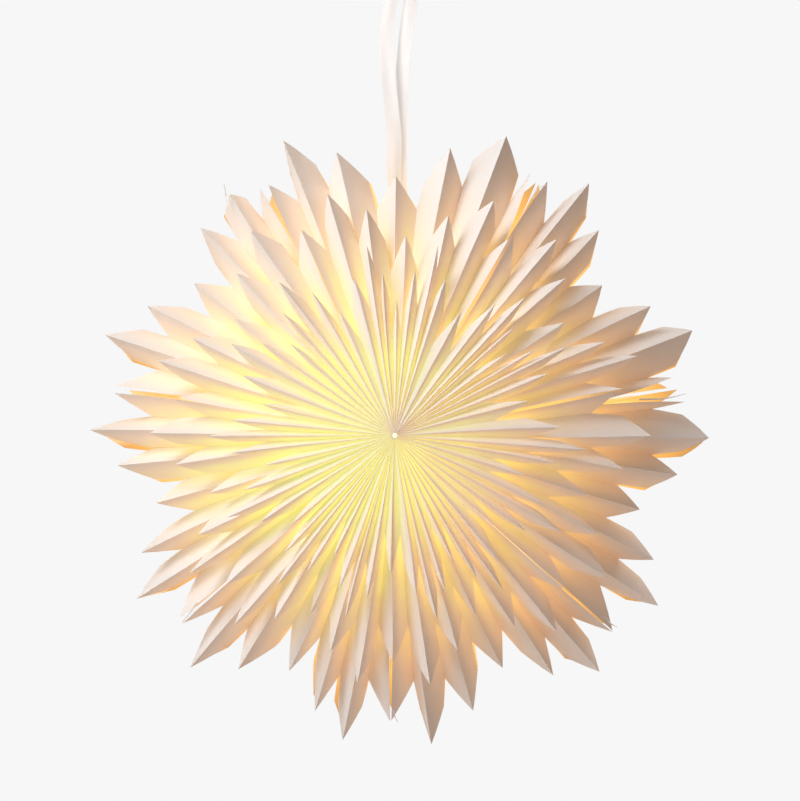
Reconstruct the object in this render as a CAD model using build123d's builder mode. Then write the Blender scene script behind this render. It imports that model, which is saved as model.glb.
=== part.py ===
from build123d import *

import os
from dataclasses import dataclass
from math import cos, radians, sin, tan

os.makedirs("parts", exist_ok=True)

# A fold-out starburst lantern of white pleated paper, hung on a loop of flat ribbon.
# Millimetres. The origin is the centre of the hanging ring's eye. The star's own axis runs
# along Y, its front towards -Y, X is to the right of it and Z is up.

# ---------------------------------------------------------------- driving sizes
# Paper star
star_radius = 300.0  # from the axis to the longest points
row_step = 61.0  # each row in front has points this much shorter than the one behind
picket_step = 29.5  # and a picket is this much shorter than its longer neighbour
point_drop = 26.0  # from a picket's tip down to its shoulders, along the radius
outer_pleats = 6  # in each section of a row, half a picket at either end counted as one
middle_pleats = 6
inner_pleats = 8
half_depth = 128.0  # from the mid-plane to the front or rear pole
paper = 0.6  # the folded card, measured along the star's axis
pleat_lean = 56.0  # degrees between a pleat's face and the star's plane
section_openings = (57.8, 52.7, 51.7, 48.9, 47.4, 49.4, 52.2)  # how far each is unfolded
seam_opening = 0.5  # degrees left open between two neighbouring sections
nesting = 0.02  # how much steeper a row's crests run than the troughs in front of it
pole_step = 0.9  # from one row to the next at the pole
centre_hole = 3.6  # radius of the hole in every row at the pole
gap = 0.3  # running or seating clearance between two pieces

# Glue flaps and closing clips along the seams
flap_depth = 9.0
flap_sheet = 0.3
flap_start = 60.0
flap_end = 232.0
clip_length = 14.0
clip_wall = 0.5
clip_depth = 7.0
clip_radius = 150.0

# Pole eyelets
eyelet_wall = 0.9
eyelet_flange = 9.0
eyelet_flange_thickness = 0.8

# Ribbon, ring and strap
ribbon_drop = 452.0  # from the eye's centre to the star's centre
ribbon_width = 14.0
ribbon_thickness = 0.5
ribbon_spread = 9.0  # each strand's shift to its side, at the ring's foot bar
ring_bore = 10.0
ring_width = 3.0
ring_thickness = 3.0
slot_height = 5.0
frame_corner = 2.0
foot_bar = 3.0  # the round bar under the ring's slot
strap_width = 36.0
strap_thickness = 0.8
strap_leg = 40.0
slot_margin = 1.5

# Wire yoke that the lamp holder hangs in
yoke_wire = 3.0
yoke_height = 206.0  # its top bar's centre line, above the star's centre
yoke_half_width = 18.5
yoke_corner = 6.0
carrier_ring_width = 6.8
carrier_ring_thickness = 2.0

# Lamp holder for a small screw lamp, on a vertical axis through the star's centre
holder_radius = 14.0
holder_mouth = 30.0  # height of its lower rim above the star's centre
holder_length = 40.0
holder_flange_radius = 16.0
holder_flange_height = 36.0  # underside of its flange above the rim
holder_roof = 4.0
shell_bore = 7.15
shell_wall = 0.5
shell_length = 24.0
contact_height = 1.0
shade_ring_width = 7.0
shade_ring_height = 8.0
dome_height = 20.0
dome_wall = 2.0
gland_radius = 5.5
gland_bore = 3.2
gland_height = 14.0

# Lamp
lamp_cap_radius = 6.9
lamp_cap_length = 22.0
lamp_tip_radius = 2.4
lamp_tip_height = 2.0
globe_radius = 22.5
globe_wall = 0.7
globe_neck_radius = 7.6
globe_drop = 34.0  # from the holder's rim down to the globe's centre
stem_radius = 3.0
stem_length = 14.0
filament_radius = 0.9
filament_length = 24.0
filament_circle = 5.5
filament_count = 4

star_centre = Vector(0, 0, -ribbon_drop)


# ---------------------------------------------------------------- paper fans
@dataclass
class Row:
    """One row of pickets: its name, pleats in a section, longest radius and both slopes."""

    name: str
    pleats: int
    radius: float
    pole: float
    crest_slope: float
    trough_slope: float


def pleat_slope(pleats):
    """How much deeper a trough runs than a crest, for a section opened to the average."""
    half_pitch = 360 / len(section_openings) / pleats / 2
    return tan(radians(pleat_lean)) * tan(radians(half_pitch))


# The outer row's troughs reach the mid-plane at the shoulders of its longest pickets, and each
# row in front of it is nested over the crests of the row behind.
outer_pole = half_depth - 2 * pole_step
shoulder_radius = star_radius - point_drop
outer_trough = (outer_pole - paper - gap / 2) / shoulder_radius
outer_crest = outer_trough - pleat_slope(outer_pleats)
middle_pole = half_depth - pole_step
middle_trough = outer_crest - nesting
middle_crest = middle_trough - pleat_slope(middle_pleats)
inner_trough = middle_crest - nesting
inner_crest = inner_trough - pleat_slope(inner_pleats)

middle_radius = star_radius - row_step
inner_radius = middle_radius - row_step
outer = Row("outer", outer_pleats, star_radius, outer_pole, outer_crest, outer_trough)
middle = Row("middle", middle_pleats, middle_radius, middle_pole, middle_crest, middle_trough)
inner = Row("inner", inner_pleats, inner_radius, half_depth, inner_crest, inner_trough)


def star_point(radius, angle, depth):
    """The point at a radius and angle about the star's axis, this far in front of its middle."""
    across = radius * cos(radians(angle))
    up = radius * sin(radians(angle))
    return star_centre + Vector(across, -depth, up)


def flat_face(corners):
    """The flat face through these corners."""
    normal = (corners[1] - corners[0]).cross(corners[2] - corners[0]).normalized()
    face_plane = Plane(origin=corners[0], x_dir=corners[1] - corners[0], z_dir=normal)
    flat = [face_plane.to_local_coords(corner) for corner in corners]
    with BuildSketch(face_plane) as drawn:
        with BuildLine():
            Polyline([(corner.X, corner.Y) for corner in flat], close=True)
        make_face()
    return drawn.sketch.face()


def crest_depth(row, radius):
    return row.pole - row.crest_slope * radius


def trough_depth(row, radius):
    return row.pole - row.trough_slope * radius


def pleat_faces(row, middle_angle, opening):
    """The faces of one section of a row. Its crests and troughs run out from the pole, and each
    picket slopes from its tip to a shoulder on the trough at either side."""
    pitch = opening / row.pleats
    last = row.pleats // 2
    faces = []
    for pleat in range(-last, last + 1):
        tip_radius = row.radius - picket_step * abs(abs(pleat) - 2)
        shoulder = tip_radius - point_drop
        crest_angle = middle_angle + pitch * pleat
        for side in (-0.5, 0.5):
            trough_angle = crest_angle + side * pitch
            corners = [
                star_point(centre_hole, crest_angle, crest_depth(row, centre_hole)),
                star_point(tip_radius, crest_angle, crest_depth(row, tip_radius)),
                star_point(shoulder, trough_angle, trough_depth(row, shoulder)),
                star_point(centre_hole, trough_angle, trough_depth(row, centre_hole)),
            ]
            if abs(pleat + side) < last:
                faces.append(flat_face(corners))
    return faces


def flap_corners(row, seam_angle):
    """The glue flap's corners, folded straight back from the crest on the seam."""
    tops = [(flap_start, 0), (flap_end, 0), (flap_end, flap_depth), (flap_start, flap_depth)]
    return [star_point(r, seam_angle, crest_depth(row, r) - back) for r, back in tops]


first_seam = 90 + section_openings[0] / 2
seam_angles = [first_seam]
for opening in section_openings:
    share = 360 * opening / sum(section_openings)
    seam_angles.append(seam_angles[-1] - share)

for number, (left_seam, right_seam) in enumerate(zip(seam_angles, seam_angles[1:]), start=1):
    middle_angle = (left_seam + right_seam) / 2
    opening = left_seam - right_seam - seam_opening
    for row in (outer, middle, inner):
        with BuildPart() as front_fan:
            extrude(pleat_faces(row, middle_angle, opening), amount=paper, dir=(0, 1, 0))
            if row is outer:
                for side in (-1, 1):
                    seam_angle = middle_angle + side * opening / 2
                    inward = Vector(sin(radians(seam_angle)), 0, -cos(radians(seam_angle)))
                    flap = flat_face(flap_corners(row, seam_angle))
                    extrude(flap, amount=flap_sheet, dir=inward * side)
        front_fan.part.label = f"section_{number}_front_{row.name}_fan"
        export_step(front_fan.part, f"parts/{front_fan.part.label}.step")

        with BuildPart() as back_fan:
            mirror(front_fan.part, about=Plane.XZ)
        back_fan.part.label = f"section_{number}_back_{row.name}_fan"
        export_step(back_fan.part, f"parts/{back_fan.part.label}.step")

# ---------------------------------------------------------------- closing clips
# The seam to the left of section 1 is the one that opens to fold the star flat. A small clip
# in the front and one in the back pinch its two glue flaps together.
closing_seam = seam_angles[0]
seam_half = clip_radius * sin(radians(seam_opening / 2))
clip_half = seam_half + flap_sheet + gap + clip_wall
flap_edge = crest_depth(outer, clip_radius) - flap_depth - outer.crest_slope * clip_length / 2
clip_origin = star_point(clip_radius, closing_seam, flap_edge - gap)
along_seam = Vector(cos(radians(closing_seam)), 0, sin(radians(closing_seam)))
clip_plane = Plane(
    origin=clip_origin - along_seam * clip_length / 2,
    x_dir=along_seam.cross(Vector(0, 1, 0)),
    z_dir=along_seam,
)
with BuildPart() as closing_clips:
    with BuildSketch(clip_plane):
        with BuildLine():
            inner_half = clip_half - clip_wall
            Polyline(
                (-clip_half, clip_depth),
                (-clip_half, -clip_wall),
                (clip_half, -clip_wall),
                (clip_half, clip_depth),
                (inner_half, clip_depth),
                (inner_half, 0),
                (-inner_half, 0),
                (-inner_half, clip_depth),
                close=True,
            )
        make_face()
    extrude(amount=clip_length)
    mirror(about=Plane.XZ)
closing_clips.part.label = "closing_clips"
export_step(closing_clips.part, "parts/closing_clips.step")

# ---------------------------------------------------------------- pole eyelets
# A short card tube gathers the three rows at each pole, with its flange behind them.
eyelet_radius = centre_hole - gap
eyelet_seat = trough_depth(outer, eyelet_flange) - paper - gap
front_pole = Plane(origin=star_centre, x_dir=(1, 0, 0), z_dir=(0, -1, 0))
with BuildPart() as front_eyelet:
    with BuildSketch(front_pole.offset(eyelet_seat - eyelet_flange_thickness)):
        Circle(eyelet_flange)
        Circle(eyelet_radius - eyelet_wall, mode=Mode.SUBTRACT)
    extrude(amount=eyelet_flange_thickness)
    with BuildSketch(front_pole.offset(eyelet_seat)):
        Circle(eyelet_radius)
        Circle(eyelet_radius - eyelet_wall, mode=Mode.SUBTRACT)
    extrude(amount=half_depth - eyelet_seat)
front_eyelet.part.label = "front_eyelet"
export_step(front_eyelet.part, "parts/front_eyelet.step")

with BuildPart() as back_eyelet:
    mirror(front_eyelet.part, about=Plane.XZ)
back_eyelet.part.label = "back_eyelet"
export_step(back_eyelet.part, "parts/back_eyelet.step")

# ---------------------------------------------------------------- hanging ring
# A steel eye for the hook over a wide slot for the ribbon, whose foot is a round bar.
foot_radius = foot_bar / 2
turn_inner = foot_radius + gap
turn_outer = turn_inner + ribbon_thickness
slot_half = ribbon_spread + ribbon_width / 2 + slot_margin
frame_top = -ring_bore - ring_width / 2
slot_top = frame_top - ring_width
foot_level = slot_top - slot_height - foot_radius
with BuildPart() as hanging_ring:
    with BuildSketch(Plane.XZ.offset(-ring_thickness / 2)) as ring_outline:
        with BuildLine():
            Polyline(
                (-slot_half - ring_width, foot_level),
                (-slot_half - ring_width, frame_top),
                (slot_half + ring_width, frame_top),
                (slot_half + ring_width, foot_level),
                close=True,
            )
        make_face()
        fillet(ring_outline.vertices().group_by(Axis.Y)[-1], frame_corner)
        Circle(ring_bore + ring_width)
        Circle(ring_bore, mode=Mode.SUBTRACT)
        with BuildLine():
            Polyline(
                (-slot_half, foot_level),
                (-slot_half, slot_top),
                (slot_half, slot_top),
                (slot_half, foot_level),
                close=True,
            )
        make_face(mode=Mode.SUBTRACT)
    extrude(amount=ring_thickness)
    with BuildSketch(Plane.YZ.offset(-slot_half - ring_width)):
        with Locations((0, foot_level)):
            Circle(foot_radius)
    extrude(amount=2 * (slot_half + ring_width))
hanging_ring.part.label = "hanging_ring"
export_step(hanging_ring.part, "parts/hanging_ring.step")

# ---------------------------------------------------------------- wire yoke
# A bent wire: its top bar hangs in the ribbon's loop, and its feet stand on the carrier ring.
holder_flange = holder_mouth + holder_flange_height
yoke_wire_radius = yoke_wire / 2
foot_height = star_centre.Z + holder_flange
bar_height = star_centre.Z + yoke_height
with BuildPart() as wire_yoke:
    with BuildLine() as yoke_line:
        FilletPolyline(
            (-yoke_half_width, 0, foot_height),
            (-yoke_half_width, 0, bar_height),
            (yoke_half_width, 0, bar_height),
            (yoke_half_width, 0, foot_height),
            radius=yoke_corner,
        )
    with BuildSketch(Plane.XY.offset(foot_height)):
        with Locations((-yoke_half_width, 0)):
            Circle(yoke_wire_radius)
    sweep()
wire_yoke.part.label = "wire_yoke"
export_step(wire_yoke.part, "parts/wire_yoke.step")

# ---------------------------------------------------------------- hanging ribbon
# One length of flat ribbon. Each end is folded over the ring's foot bar, and its loop passes
# round the yoke's bar. The front strand leans to the left on its way up, the rear one to the
# right.
yoke_inner = yoke_wire_radius + gap
yoke_outer = yoke_inner + ribbon_thickness
with BuildPart() as hanging_ribbon:
    with BuildSketch(Plane.YZ.offset(-ribbon_width / 2)):
        with Locations((0, bar_height)):
            Circle(yoke_outer)
            Circle(yoke_inner, mode=Mode.SUBTRACT)
        with Locations((0, bar_height + yoke_outer)):
            Rectangle(2 * yoke_outer, 2 * yoke_outer, mode=Mode.SUBTRACT)
    extrude(amount=ribbon_width)
    for outer_foot, outer_top, lean in ((-yoke_outer, -turn_outer, -1), (yoke_inner, turn_inner, 1)):
        strand_top = lean * ribbon_spread
        with BuildSketch(Plane.XY.offset(bar_height)):
            with Locations((0, outer_foot + ribbon_thickness / 2)):
                Rectangle(ribbon_width, ribbon_thickness)
        with BuildSketch(Plane.XY.offset(foot_level)):
            with Locations((strand_top, outer_top + ribbon_thickness / 2)):
                Rectangle(ribbon_width, ribbon_thickness)
        loft()
        with BuildSketch(Plane.YZ.offset(strand_top - ribbon_width / 2)):
            with Locations((0, foot_level)):
                Circle(turn_outer)
                Circle(turn_inner, mode=Mode.SUBTRACT)
        extrude(amount=ribbon_width)
hanging_ribbon.part.label = "hanging_ribbon"
export_step(hanging_ribbon.part, "parts/hanging_ribbon.step")

# ---------------------------------------------------------------- hanging strap
# A strip of stiff card folded like a staple. Its crest rests on the yoke's bar, and its legs
# are glued inside the front and back of section 1, on the troughs beside the top picket.
trough_half_angle = (seam_angles[0] - seam_angles[1] - seam_opening) / outer.pleats / 2
strap_crest = yoke_height + yoke_wire_radius + gap
crest_trough_radius = (strap_crest + strap_thickness) / cos(radians(trough_half_angle))
leg_trough_radius = (strap_crest - strap_leg) / cos(radians(trough_half_angle))
paper_inside = paper + gap
crest_reach = trough_depth(outer, crest_trough_radius) - paper_inside
leg_reach = trough_depth(outer, leg_trough_radius) - paper_inside
crest_level = star_centre.Z + strap_crest
leg_level = crest_level - strap_leg
with BuildPart() as hanging_strap:
    with BuildSketch(Plane.YZ.offset(-strap_width / 2)):
        with BuildLine():
            Polyline(
                (-leg_reach, leg_level),
                (-crest_reach, crest_level + strap_thickness),
                (crest_reach, crest_level + strap_thickness),
                (leg_reach, leg_level),
                (leg_reach - strap_thickness, leg_level),
                (crest_reach - strap_thickness, crest_level),
                (-crest_reach + strap_thickness, crest_level),
                (-leg_reach + strap_thickness, leg_level),
                close=True,
            )
        make_face()
    extrude(amount=strap_width)
    with BuildSketch(Plane.XY.offset(crest_level)):
        Rectangle(ribbon_width + 2 * slot_margin, 2 * (yoke_outer + slot_margin))
    extrude(amount=strap_thickness, mode=Mode.SUBTRACT)
hanging_strap.part.label = "hanging_strap"
export_step(hanging_strap.part, "parts/hanging_strap.step")

# ---------------------------------------------------------------- lamp holder
# All of its pieces turn about the vertical axis through the star's centre.
holder_bore = shell_bore + shell_wall + gap
mouth_level = star_centre.Z + holder_mouth
flange_level = star_centre.Z + holder_flange
body_top = mouth_level + holder_length
with BuildPart() as lamp_holder_body:
    with BuildSketch(Plane.XY.offset(mouth_level)):
        Circle(holder_radius)
    extrude(amount=holder_length)
    with BuildSketch(Plane.XY.offset(flange_level)):
        Circle(holder_flange_radius)
    extrude(amount=holder_length - holder_flange_height)
    with BuildSketch(Plane.XY.offset(mouth_level)):
        Circle(holder_bore)
    extrude(amount=holder_length - holder_roof, mode=Mode.SUBTRACT)
    with BuildSketch(Plane.XY.offset(body_top - holder_roof)):
        Circle(gland_bore)
    extrude(amount=holder_roof, mode=Mode.SUBTRACT)
lamp_holder_body.part.label = "lamp_holder_body"
export_step(lamp_holder_body.part, "parts/lamp_holder_body.step")

with BuildPart() as lamp_holder_dome:
    with BuildSketch(Plane.XZ):
        with BuildLine():
            Polyline(
                (gland_radius, body_top + dome_height),
                (gland_radius, body_top + dome_height - dome_wall),
                (holder_flange_radius - dome_wall, body_top + dome_height / 2),
                (holder_flange_radius - dome_wall, body_top),
                (holder_flange_radius, body_top),
                (holder_flange_radius, body_top + dome_height / 2),
                (gland_radius + dome_wall, body_top + dome_height),
                close=True,
            )
        make_face()
    revolve(axis=Axis.Z)
lamp_holder_dome.part.label = "lamp_holder_dome"
export_step(lamp_holder_dome.part, "parts/lamp_holder_dome.step")

with BuildPart() as cord_inlet:
    with BuildSketch(Plane.XY.offset(body_top + dome_height)):
        Circle(gland_radius + dome_wall)
        Circle(gland_bore, mode=Mode.SUBTRACT)
    extrude(amount=gland_height / 2)
    with BuildSketch(Plane.XY.offset(body_top + dome_height + gland_height / 2)):
        Circle(gland_radius)
        Circle(gland_bore, mode=Mode.SUBTRACT)
    extrude(amount=gland_height / 2)
cord_inlet.part.label = "cord_inlet"
export_step(cord_inlet.part, "parts/cord_inlet.step")

with BuildPart() as carrier_ring:
    with BuildSketch(Plane.XY.offset(flange_level - carrier_ring_thickness)):
        Circle(holder_radius + gap + carrier_ring_width)
        Circle(holder_radius + gap, mode=Mode.SUBTRACT)
    extrude(amount=carrier_ring_thickness)
carrier_ring.part.label = "carrier_ring"
export_step(carrier_ring.part, "parts/carrier_ring.step")

shade_ring_top = flange_level - carrier_ring_thickness - gap
with BuildPart() as shade_ring:
    with BuildSketch(Plane.XY.offset(shade_ring_top - shade_ring_height)):
        Circle(holder_radius + gap + shade_ring_width)
        Circle(holder_radius + gap, mode=Mode.SUBTRACT)
    extrude(amount=shade_ring_height)
shade_ring.part.label = "shade_ring"
export_step(shade_ring.part, "parts/shade_ring.step")

# The screw shell hangs from the body's roof, and the lamp's tip stands under the contact.
roof_level = body_top - holder_roof
tip_level = roof_level - contact_height - gap
with BuildPart() as contact_shell:
    with BuildSketch(Plane.XY.offset(roof_level - shell_length)):
        Circle(shell_bore + shell_wall)
        Circle(shell_bore, mode=Mode.SUBTRACT)
    extrude(amount=shell_length)
contact_shell.part.label = "contact_shell"
export_step(contact_shell.part, "parts/contact_shell.step")

with BuildPart() as centre_contact:
    with BuildSketch(Plane.XY.offset(roof_level - contact_height)):
        Circle(shell_bore - 2 * shell_wall)
    extrude(amount=contact_height)
centre_contact.part.label = "centre_contact"
export_step(centre_contact.part, "parts/centre_contact.step")

# ---------------------------------------------------------------- lamp
cap_top = tip_level - lamp_tip_height
cap_foot = cap_top - lamp_cap_length
with BuildPart() as lamp_cap:
    with BuildSketch(Plane.XY.offset(cap_foot)):
        Circle(lamp_cap_radius)
    extrude(amount=lamp_cap_length)
    with BuildSketch(Plane.XY.offset(cap_top)):
        Circle(lamp_tip_radius)
    extrude(amount=lamp_tip_height)
lamp_cap.part.label = "lamp_cap"
export_step(lamp_cap.part, "parts/lamp_cap.step")

globe_level = mouth_level - globe_drop
neck_join = globe_level + (globe_radius**2 - (globe_neck_radius + globe_wall) ** 2) ** 0.5
with BuildPart() as lamp_globe:
    with Locations((0, 0, globe_level)):
        Sphere(globe_radius)
    with BuildSketch(Plane.XY.offset(neck_join - globe_wall)):
        Circle(globe_neck_radius)
    extrude(amount=cap_foot - neck_join + globe_wall)
    with Locations((0, 0, globe_level)):
        Sphere(globe_radius - globe_wall, mode=Mode.SUBTRACT)
    with BuildSketch(Plane.XY.offset(globe_level)):
        Circle(globe_neck_radius - globe_wall)
    extrude(amount=cap_foot - globe_level, mode=Mode.SUBTRACT)
lamp_globe.part.label = "lamp_globe"
export_step(lamp_globe.part, "parts/lamp_globe.step")

with BuildPart() as lamp_stem:
    with BuildSketch(Plane.XY.offset(cap_foot - stem_length)):
        Circle(stem_radius)
    extrude(amount=stem_length)
    with BuildSketch(Plane.XY.offset(cap_foot - stem_length)):
        Circle(filament_circle + filament_radius)
    extrude(amount=-globe_wall)
lamp_stem.part.label = "lamp_stem"
export_step(lamp_stem.part, "parts/lamp_stem.step")

with BuildPart() as lamp_filaments:
    with BuildSketch(Plane.XY.offset(cap_foot - stem_length - globe_wall)):
        with PolarLocations(filament_circle, filament_count):
            Circle(filament_radius)
    extrude(amount=-filament_length)
lamp_filaments.part.label = "lamp_filaments"
export_step(lamp_filaments.part, "parts/lamp_filaments.step")
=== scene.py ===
from math import cos, exp, hypot, pi, radians, sin, sqrt
from random import Random

import bmesh
import bpy
from mathutils import Matrix, Vector


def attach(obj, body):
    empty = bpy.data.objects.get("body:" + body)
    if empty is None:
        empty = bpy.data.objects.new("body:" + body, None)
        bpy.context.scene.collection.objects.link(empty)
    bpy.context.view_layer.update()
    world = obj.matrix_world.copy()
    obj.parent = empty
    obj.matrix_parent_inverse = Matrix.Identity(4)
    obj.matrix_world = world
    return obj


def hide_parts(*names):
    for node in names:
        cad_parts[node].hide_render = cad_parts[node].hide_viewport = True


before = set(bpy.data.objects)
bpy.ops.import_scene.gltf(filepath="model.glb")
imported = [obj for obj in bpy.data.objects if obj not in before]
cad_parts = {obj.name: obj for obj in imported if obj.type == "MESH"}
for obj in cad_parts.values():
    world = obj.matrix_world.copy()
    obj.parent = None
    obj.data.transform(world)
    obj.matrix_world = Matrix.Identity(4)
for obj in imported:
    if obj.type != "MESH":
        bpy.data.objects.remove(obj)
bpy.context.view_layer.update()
mm = 0.001

# ---------------------------------------------------------------- camera
# It stands 2.4 m in front of the star, a little to the right of its axis and a little above
# it, with a long lens, and looks a touch over the star's centre.
star_centre = Vector((0, 0, -452 * mm))
view_azimuth = radians(3.1)
view_elevation = radians(2.05)
view_distance = 2.4
look_offset = Vector((-2, 0, 29.6)) * mm
level_part = cos(view_elevation)
away = Vector(
    (sin(view_azimuth) * level_part, -cos(view_azimuth) * level_part, sin(view_elevation))
)
camera_data = bpy.data.cameras.new("camera")
camera_data.lens = 110
camera = bpy.data.objects.new("camera", camera_data)
camera.location = star_centre + away * view_distance
look_line = star_centre + look_offset - camera.location
camera.rotation_euler = look_line.to_track_quat("-Z", "Y").to_euler()
bpy.context.scene.collection.objects.link(camera)
bpy.context.scene.camera = camera

# ---------------------------------------------------------------- hanging ribbon
# One length of flat white polyester tape, 14 mm wide. Each end is folded over the hanging ring
# and sewn to itself, and the loop's foot passes round the top bar of the wire yoke.
ribbon_width = 14.0
ribbon_thickness = 0.45
cup_depth = 0.5  # the tape is cupped a little across its width, now to one side and now the other
cup_pace = 38  # in radians for each metre of tape
cup_start = 0.6
hem_place = 0.46  # the thicker woven edges, as shares of the tape's width from its middle
hem_reach = 0.03
tape_body = 0.75  # of the full thickness, and how much the edges add to it
hem_body = 0.45
ribbon_route = (  # each point with the tape's turn about its own line there, in degrees
    (-9.4, -1.2, -28.6, 0),
    (-9.3, 0.9, -26.0, 0),
    (-9.1, 2.3, -22.6, 0),
    (-9.0, 2.6, -18.4, 0),
    (-9.0, -2.6, -18.4, 0),
    (-9.2, -2.6, -23.0, 0),
    (-11.0, -2.5, -33.0, 2),
    (-14.8, -2.4, -56.0, 4),
    (-14.6, -2.2, -88.0, 6),
    (-10.8, -2.4, -132.0, 0),
    (-6.6, -2.6, -172.0, -8),
    (-8.6, -2.6, -208.0, -20),
    (-1.6, -2.3, -238.0, -6),
    (0.0, -2.6, -249.4, 0),
    (0.0, 2.6, -249.4, 0),
    (0.2, 2.3, -238.0, 0),
    (-1.9, 2.4, -212.0, 6),
    (-2.3, 2.2, -172.0, 6),
    (-1.2, 2.0, -132.0, 4),
    (0.9, 2.6, -88.0, -24),
    (4.4, 2.6, -56.0, -14),
    (8.6, 2.5, -33.0, 0),
    (9.2, 2.6, -23.0, 0),
    (9.0, 2.6, -18.4, 0),
    (9.0, -2.6, -18.4, 0),
    (9.1, -2.3, -22.6, 0),
    (9.3, -0.9, -26.0, 0),
    (9.4, 1.2, -28.6, 0),
)


def smooth_line(route):
    """The points along the NURBS line that these points control."""
    curve = bpy.data.curves.new("route", "CURVE")
    curve.dimensions = "3D"
    curve.resolution_u = 8
    spline = curve.splines.new("NURBS")
    spline.points.add(len(route) - 1)
    for point, place in zip(spline.points, route):
        point.co = (*(c * mm for c in place[:3]), 1)
    spline.order_u = 3
    spline.use_endpoint_u = True
    holder = bpy.data.objects.new("route", curve)
    drawn = bpy.data.meshes.new_from_object(holder)
    places = [v.co.copy() for v in drawn.vertices]
    bpy.data.objects.remove(holder)
    return places


def between(x, table):
    """The value at x on the straight runs between these (x, value) pairs."""
    for (x0, v0), (x1, v1) in zip(table, table[1:]):
        if x <= x1:
            return v0 + (v1 - v0) * max(0.0, (x - x0) / (x1 - x0))
    return table[-1][1]


def lengths_along(line):
    """How far each point of a line is from its start."""
    run = [0.0]
    for a, b in zip(line, line[1:]):
        run.append(run[-1] + (b - a).length)
    return run


def new_piece(name, work, body, slot, *nodes):
    """Turns a bmesh into a smooth-shaded piece that rides on a body and replaces these nodes."""
    mesh = bpy.data.meshes.new(name)
    work.to_mesh(mesh)
    work.free()
    piece = bpy.data.objects.new(name, mesh)
    bpy.context.scene.collection.objects.link(piece)
    mesh.shade_smooth()
    mesh.set_sharp_from_angle(angle=radians(30))
    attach(piece, body)
    if nodes:
        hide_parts(*nodes)
    return piece


def add_node(material, kind, sources=(), **settings):
    """Adds a node to a material or a world. Sources are (input, value or socket) pairs."""
    made = material.node_tree.nodes.new(kind)
    for key, value in settings.items():
        setattr(made, key, value)
    for key, value in sources:
        if isinstance(value, bpy.types.NodeSocket):
            material.node_tree.links.new(value, made.inputs[key])
        else:
            made.inputs[key].default_value = value
    return made


def new_finish(name, **values):
    """A material with one Principled shader, and its even values on the shader's sockets."""
    material = bpy.data.materials.new(name)
    material.use_nodes = True
    shader = material.node_tree.nodes["Principled BSDF"]
    for key, value in values.items():
        shader.inputs[key.replace("_", " ")].default_value = value
    return material, shader


def join(material, source, shader, socket):
    """Links an output socket to one of a shader's inputs."""
    material.node_tree.links.new(source, shader.inputs[socket])


def math_step(material, operation, a, b):
    """The output of one step of arithmetic on two values or output sockets."""
    made = add_node(material, "ShaderNodeMath", [(0, a), (1, b)], operation=operation)
    return made.outputs[0]


def ramp(material, factor, *stops):
    """A colour ramp through these (place, colour) stops."""
    made = add_node(material, "ShaderNodeValToRGB", [("Fac", factor)])
    points = made.color_ramp.elements
    while len(points) < len(stops):
        points.new(0.5)
    for point, (place, colour) in zip(points, stops):
        point.position = place
        point.color = (*colour, 1)
    return made.outputs["Color"]


def tint(material, shader, socket, factor, *stops):
    """Gives one of a shader's colours a ramp through these stops."""
    join(material, ramp(material, factor, *stops), shader, socket)


def noise(material, place, scale, detail=2.0):
    """A noise between 0 and 1 over these places."""
    sources = [("Vector", place), ("Scale", scale), ("Detail", detail)]
    return add_node(material, "ShaderNodeTexNoise", sources).outputs["Fac"]


def stripes(material, place, scale, direction):
    """Even stripes between 0 and 1 that follow each other in this direction."""
    sources = [("Vector", place), ("Scale", scale)]
    wave = add_node(material, "ShaderNodeTexWave", sources, bands_direction=direction)
    return wave.outputs["Fac"]


def relief(material, shader, height, strength, distance):
    """Bumps the surface by a height that varies over it."""
    sources = [("Height", height), ("Strength", strength), ("Distance", distance)]
    bump = add_node(material, "ShaderNodeBump", sources)
    join(material, bump.outputs["Normal"], shader, "Normal")


def spot_on(material):
    """The place on the piece itself."""
    return add_node(material, "ShaderNodeTexCoord").outputs["Object"]


route_line = smooth_line(ribbon_route)
along = lengths_along(route_line)
route_run = lengths_along([Vector(place[:3]) for place in ribbon_route])
turns = [
    (at / route_run[-1] * along[-1], radians(place[3]))
    for at, place in zip(route_run, ribbon_route)
]
work = bmesh.new()
tape_uv = work.loops.layers.uv.new("tape")
rings = []
across_steps = 8
for number, place in enumerate(route_line):
    before = route_line[max(number - 1, 0)]
    after = route_line[min(number + 1, len(route_line) - 1)]
    heading = (after - before).normalized()
    width_line = Vector((1, 0, 0))
    width_line = (width_line - heading * width_line.dot(heading)).normalized()
    width_line = Matrix.Rotation(between(along[number], turns), 3, heading) @ width_line
    face_line = heading.cross(width_line)
    ring = []
    for side in (1, -1):
        for step in range(across_steps + 1):
            share = (step / across_steps - 0.5) * side
            cup = cup_depth * cos(2 * pi * share) * sin(along[number] * cup_pace + cup_start)
            hem = exp(-(((abs(share) - hem_place) / hem_reach) ** 2))
            lift = (cup + side * (tape_body + hem_body * hem) * ribbon_thickness / 2) * mm
            spot = place + width_line * share * ribbon_width * mm + face_line * lift
            ring.append((work.verts.new(spot), share + 0.5))
    rings.append(ring)
for number, (ring, following) in enumerate(zip(rings, rings[1:])):
    for k in range(len(ring)):
        m = (k + 1) % len(ring)
        corners = [(ring[k], 0), (following[k], 1), (following[m], 1), (ring[m], 0)]
        face = work.faces.new([corner[0][0] for corner in corners])
        for loop, (corner, end) in zip(face.loops, corners):
            loop[tape_uv].uv = (corner[1], along[number + end] / (ribbon_width * mm))
work.faces.new([corner[0] for corner in reversed(rings[0])])
work.faces.new([corner[0] for corner in rings[-1]])
bmesh.ops.recalc_face_normals(work, faces=work.faces)
ribbon = new_piece("hanging_ribbon", work, "ribbon_loop", "ribbon", "hanging_ribbon")

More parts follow.
